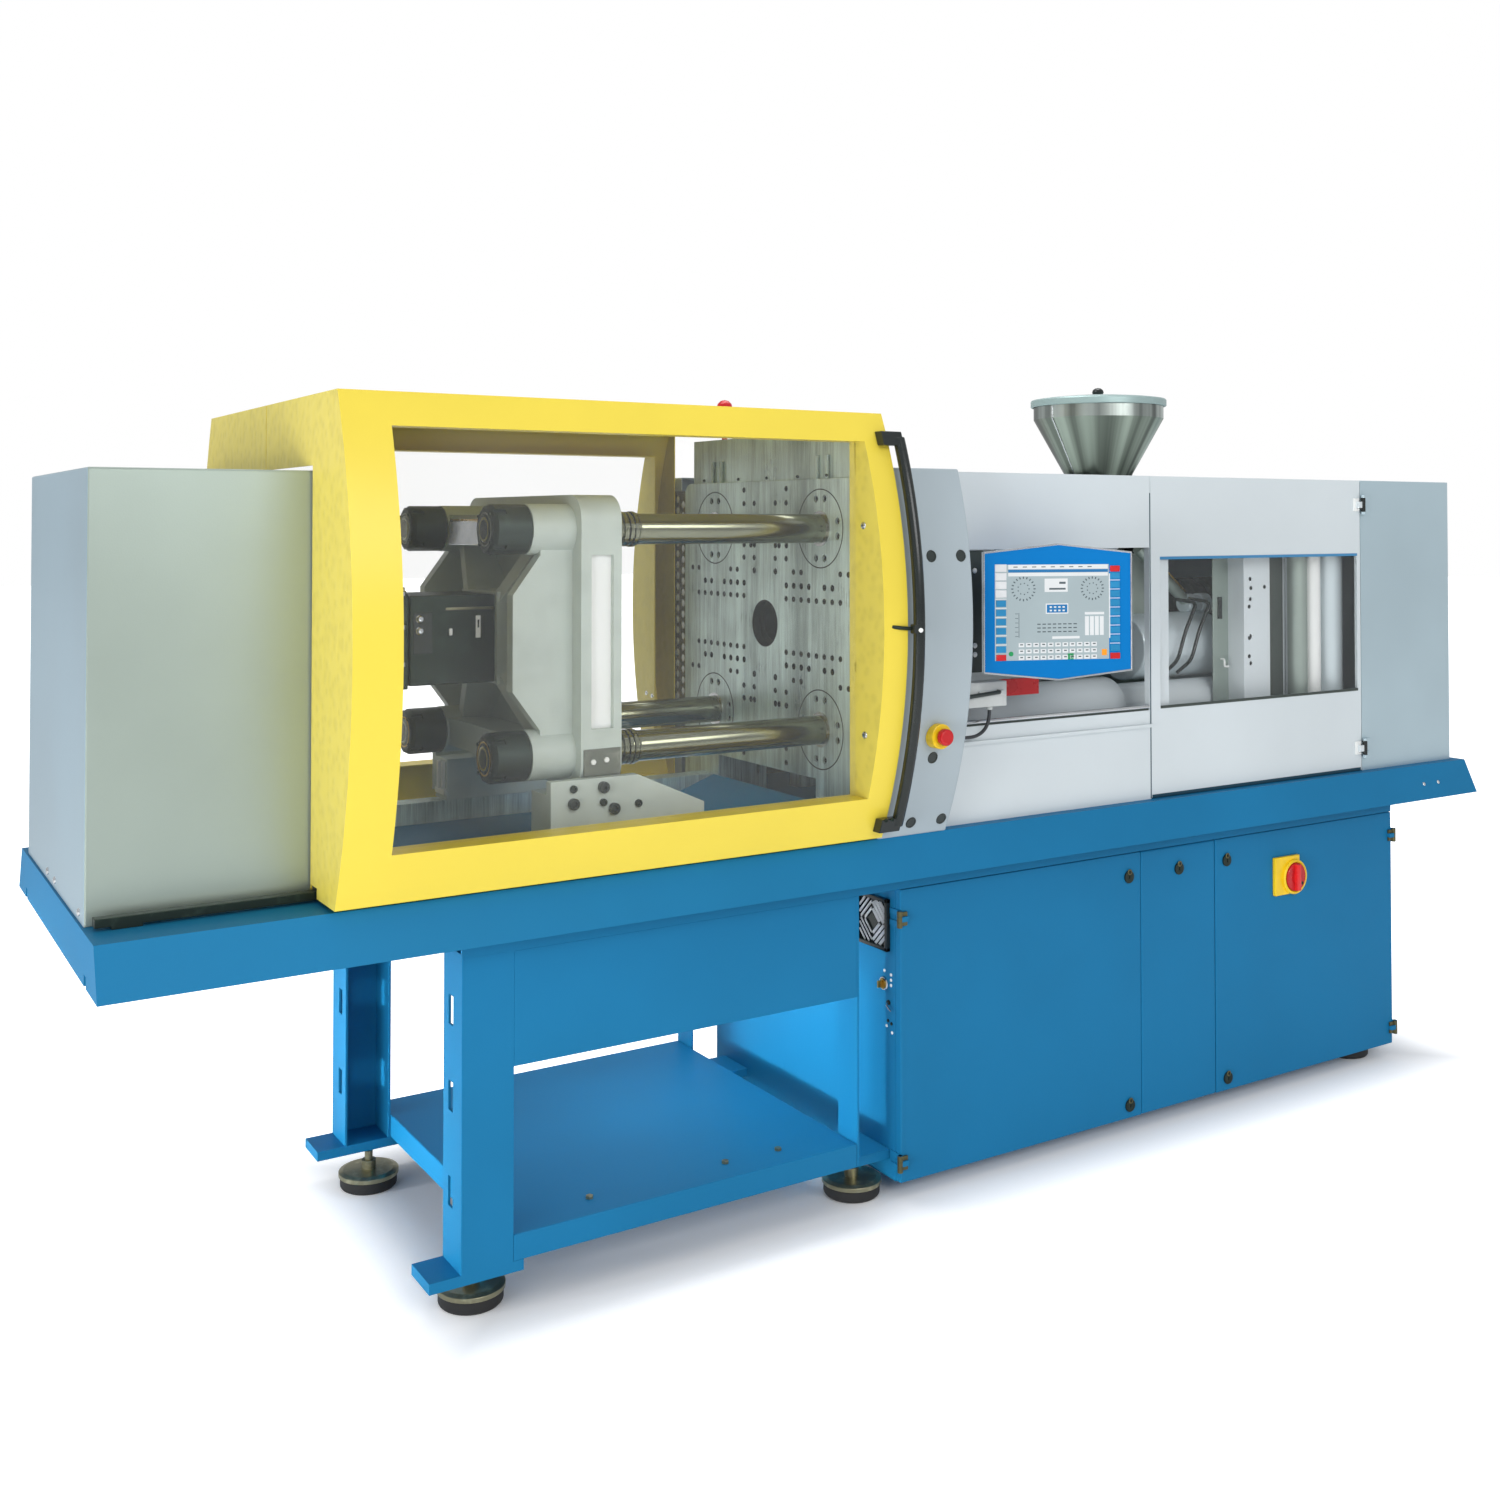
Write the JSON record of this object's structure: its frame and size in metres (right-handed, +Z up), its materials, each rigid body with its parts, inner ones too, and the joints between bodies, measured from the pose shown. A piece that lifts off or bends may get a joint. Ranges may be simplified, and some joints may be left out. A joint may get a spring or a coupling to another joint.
{
  "type": "injection moulding machine",
  "caption": "Horizontal hydraulic injection moulding machine with sliding bulged safety gates, tie-bar clamp, barrel with hopper, swivelling control panel and a blue stand.",
  "frame": {"origin": "on the floor under the middle of the machine's box", "axes": "+Z up, +X from the clamp end to the injection end, -Y towards the operator"},
  "size_m": [4.11, 1.3571, 2.087],
  "materials": {
    "bed_blue": "smooth satin powder coat, mid blue",
    "cover_grey": "smooth satin powder coat, light grey",
    "column_grey": "satin paint, silver grey",
    "gate_yellow": "textured satin paint, lemon yellow",
    "casting_grey": "painted casting, pale grey green",
    "ground_steel": "ground bright steel",
    "hard_chrome": "polished hard chrome",
    "stainless": "brushed stainless sheet",
    "dark_steel": "blackened steel",
    "zinc": "yellow passivated zinc",
    "rubber": "black rubber",
    "clear_pane": "clear polycarbonate",
    "red_plastic": "glossy red",
    "yellow_plastic": "glossy yellow",
    "black_plastic": "matt black",
    "grey_plastic": "matt light grey",
    "panel_blue": "smooth blue front foil"
  },
  "bodies": {
    "machine_base": {"machine_bed": "bed_blue", "support_legs": "bed_blue", "lower_shelf": "bed_blue", "chute_sheets": "bed_blue", "levelling_pads": "rubber", "levelling_discs": "zinc", "cabinet_shell": "bed_blue", "cabinet_middle_panel": "bed_blue", "fan_grille": "black_plastic", "power_pack": "dark_steel", "left_cover": "cover_grey", "gate_rails": "dark_steel", "platen_rails": "ground_steel", "fixed_platen": "ground_steel", "tie_bar_flanges": "ground_steel", "clamp_cylinders": "cover_grey", "platen_guards": "ground_steel", "side_columns": "column_grey", "emergency_stop_base": "yellow_plastic", "beacon": "red_plastic", "front_cover": "cover_grey", "end_cover": "cover_grey", "rear_cover": "cover_grey", "inner_posts": "cover_grey", "panel_arm": "dark_steel", "connector_box": "grey_plastic", "connector_cable": "black_plastic", "injection_rails": "ground_steel"},
    "clamp_unit": {"moving_platen": "casting_grey", "tie_bars": "hard_chrome", "tie_bar_nuts": "dark_steel", "ejector_housing": "dark_steel", "slide_shoes": "casting_grey"},
    "ejector": {"ejector_rod": "hard_chrome"},
    "front_gate": {"front_gate_frame": "gate_yellow", "front_gate_window": "clear_pane", "front_gate_handle": "black_plastic"},
    "rear_gate": {"rear_gate_frame": "gate_yellow", "rear_gate_window": "clear_pane", "rear_gate_handle": "black_plastic"},
    "injection_unit": {"injection_carriage": "casting_grey", "barrel": "ground_steel", "injection_cylinders": "cover_grey", "hopper": "stainless", "hopper_lid": "stainless"},
    "screw_crosshead": {"screw_drive": "dark_steel"},
    "plasticising_screw": {"screw": "hard_chrome"},
    "window_door": {"window_door": "cover_grey", "window_door_pane": "clear_pane"},
    "cabinet_left_door": {"cabinet_left_door": "bed_blue"},
    "cabinet_right_door": {"cabinet_right_door": "bed_blue"},
    "lock_left_upper": {"lock_left_upper": "dark_steel"},
    "lock_left_lower": {"lock_left_lower": "dark_steel"},
    "lock_middle": {"lock_middle": "dark_steel"},
    "lock_right_upper": {"lock_right_upper": "dark_steel"},
    "lock_right_lower": {"lock_right_lower": "dark_steel"},
    "main_switch": {"main_switch_knob": "red_plastic"},
    "key_switch": {"key_switch": "ground_steel"},
    "emergency_stop": {"emergency_stop_button": "red_plastic"},
    "control_panel": {"control_panel": "panel_blue"}
  },
  "joints": [
    {"name": "clamp_slide", "type": "slide", "parent": "machine_base", "child": "clamp_unit", "axis": [1, 0, 0], "range_m": [-0.04, 0.36]},
    {"name": "ejector_slide", "type": "slide", "parent": "clamp_unit", "child": "ejector", "axis": [1, 0, 0], "range_m": [0, 0.13]},
    {"name": "front_gate_slide", "type": "slide", "parent": "machine_base", "child": "front_gate", "axis": [1, 0, 0], "range_m": [-0.42, 0]},
    {"name": "rear_gate_slide", "type": "slide", "parent": "machine_base", "child": "rear_gate", "axis": [1, 0, 0], "range_m": [-0.42, 0]},
    {"name": "injection_slide", "type": "slide", "parent": "machine_base", "child": "injection_unit", "axis": [1, 0, 0], "range_m": [-0.04, 0.2]},
    {"name": "screw_stroke", "type": "slide", "parent": "injection_unit", "child": "screw_crosshead", "axis": [1, 0, 0], "range_m": [0, 0.16]},
    {"name": "screw_spin", "type": "hinge", "parent": "screw_crosshead", "child": "plasticising_screw", "pos_m": [0.945, 0, 1.398], "axis": [1, 0, 0], "continuous": true},
    {"name": "window_door_hinge", "type": "hinge", "parent": "machine_base", "child": "window_door", "pos_m": [1.581, -0.472, 1.349], "axis": [0, 0, 1], "range_deg": [0, 110]},
    {"name": "cabinet_left_hinge", "type": "hinge", "parent": "machine_base", "child": "cabinet_left_door", "pos_m": [-0.194, -0.447, 0.39], "axis": [0, 0, -1], "range_deg": [0, 100]},
    {"name": "cabinet_right_hinge", "type": "hinge", "parent": "machine_base", "child": "cabinet_right_door", "pos_m": [1.751, -0.447, 0.39], "axis": [0, 0, 1], "range_deg": [0, 100]},
    {"name": "left_upper_lock_turn", "type": "hinge", "parent": "cabinet_left_door", "child": "lock_left_upper", "pos_m": [0.598, -0.442, 0.697], "axis": [0, 1, 0], "range_deg": [0, 90]},
    {"name": "left_lower_lock_turn", "type": "hinge", "parent": "cabinet_left_door", "child": "lock_left_lower", "pos_m": [0.598, -0.442, 0.076], "axis": [0, 1, 0], "range_deg": [0, 90]},
    {"name": "middle_lock_turn", "type": "hinge", "parent": "machine_base", "child": "lock_middle", "pos_m": [0.794, -0.442, 0.697], "axis": [0, 1, 0], "range_deg": [0, 90]},
    {"name": "right_upper_lock_turn", "type": "hinge", "parent": "cabinet_right_door", "child": "lock_right_upper", "pos_m": [0.99, -0.442, 0.697], "axis": [0, -1, 0], "range_deg": [0, 90]},
    {"name": "right_lower_lock_turn", "type": "hinge", "parent": "cabinet_right_door", "child": "lock_right_lower", "pos_m": [0.99, -0.442, 0.076], "axis": [0, -1, 0], "range_deg": [0, 90]},
    {"name": "main_switch_turn", "type": "hinge", "parent": "cabinet_right_door", "child": "main_switch", "pos_m": [1.268, -0.442, 0.619], "axis": [0, 1, 0], "range_deg": [0, 90]},
    {"name": "key_switch_turn", "type": "hinge", "parent": "machine_base", "child": "key_switch", "pos_m": [-0.188, -0.376, 0.515], "axis": [1, 0, 0], "range_deg": [0, 90]},
    {"name": "emergency_stop_press", "type": "slide", "parent": "machine_base", "child": "emergency_stop", "axis": [0, 1, 0], "range_m": [0, 0.005], "stiffness_N_per_m": 600, "springref_m": -0.004},
    {"name": "control_panel_swivel", "type": "hinge", "parent": "machine_base", "child": "control_panel", "pos_m": [0.187, -0.566, 1.445], "axis": [0, 0, 1], "range_deg": [-25, 35]}
  ]
}
